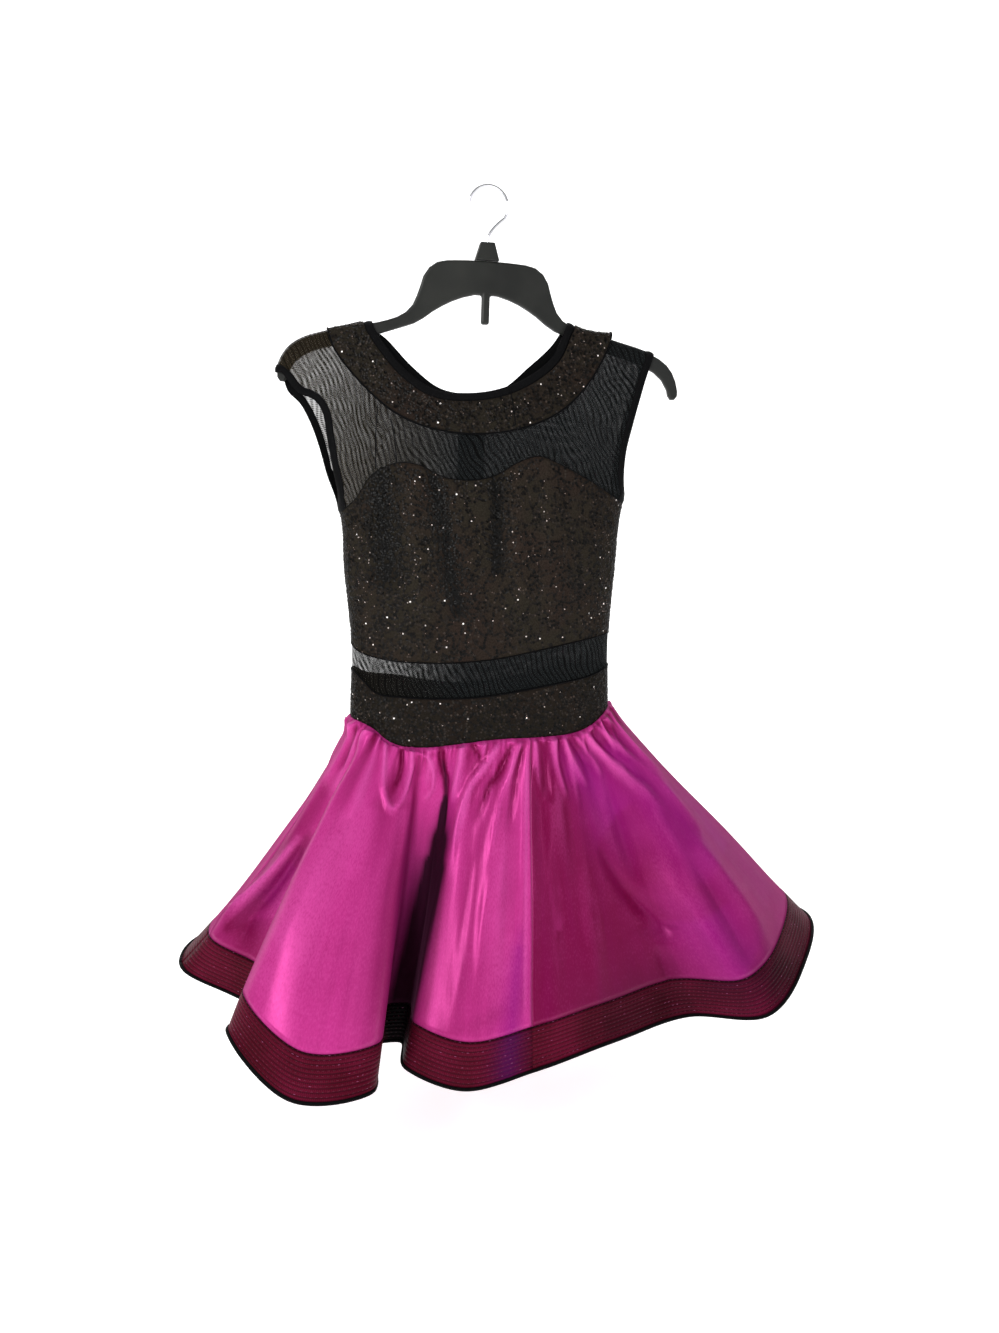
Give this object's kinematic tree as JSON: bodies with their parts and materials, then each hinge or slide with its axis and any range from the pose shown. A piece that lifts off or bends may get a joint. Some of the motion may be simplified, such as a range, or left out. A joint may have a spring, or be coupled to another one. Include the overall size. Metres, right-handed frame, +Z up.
{
  "type": "sequin dance costume on a plastic hanger",
  "caption": "Sleeveless dance costume with a sequined bodice, net yoke and midriff, flat collar and full satin skirt with a stiff braid hem, hung on a moulded hanger with a wire hook.",
  "frame": {"origin": "inner top of the hanger's hook, where it hangs on a rail", "axes": "+Z up, the costume's front faces -Y, and the viewer's right is +X; the rail runs along Y"},
  "size_m": [0.7646, 0.4822, 0.9138],
  "materials": {
    "black_plastic": "satin black moulding",
    "steel": "bright plated wire",
    "net": "sheer black power net",
    "black_jersey": "matt black stretch binding",
    "sequins": "brown-black cloth sewn with sequins",
    "satin": "magenta stretch satin",
    "braid": "plum stiff braid with glitter threads"
  },
  "bodies": {
    "root": {"hanger_frame": "black_plastic", "size_clip": "black_plastic", "hanger_hook": "steel", "neck_binding_front": "black_jersey", "neck_binding_back_left": "black_jersey", "neck_binding_back_right": "black_jersey", "collar_front": "sequins", "collar_back_left": "sequins", "collar_back_right": "sequins", "yoke_front": "net", "yoke_back_left": "net", "yoke_back_right": "net", "back_placket": "black_jersey", "armhole_binding_left_front": "black_jersey", "armhole_binding_left_back": "black_jersey", "armhole_binding_right_front": "black_jersey", "armhole_binding_right_back": "black_jersey", "bodice_front": "sequins", "bodice_back": "sequins", "midriff_front": "net", "midriff_back": "net", "waistband_front": "sequins", "waistband_back": "sequins", "skirt_front_left": "satin", "skirt_front_right": "satin", "skirt_back_left": "satin", "skirt_back_right": "satin", "hem_braid_front_left": "braid", "hem_braid_front_right": "braid", "hem_braid_back_left": "braid", "hem_braid_back_right": "braid", "hem_edge_front_left": "black_jersey", "hem_edge_front_right": "black_jersey", "hem_edge_back_left": "black_jersey", "hem_edge_back_right": "black_jersey"}
  },
  "joints": []
}
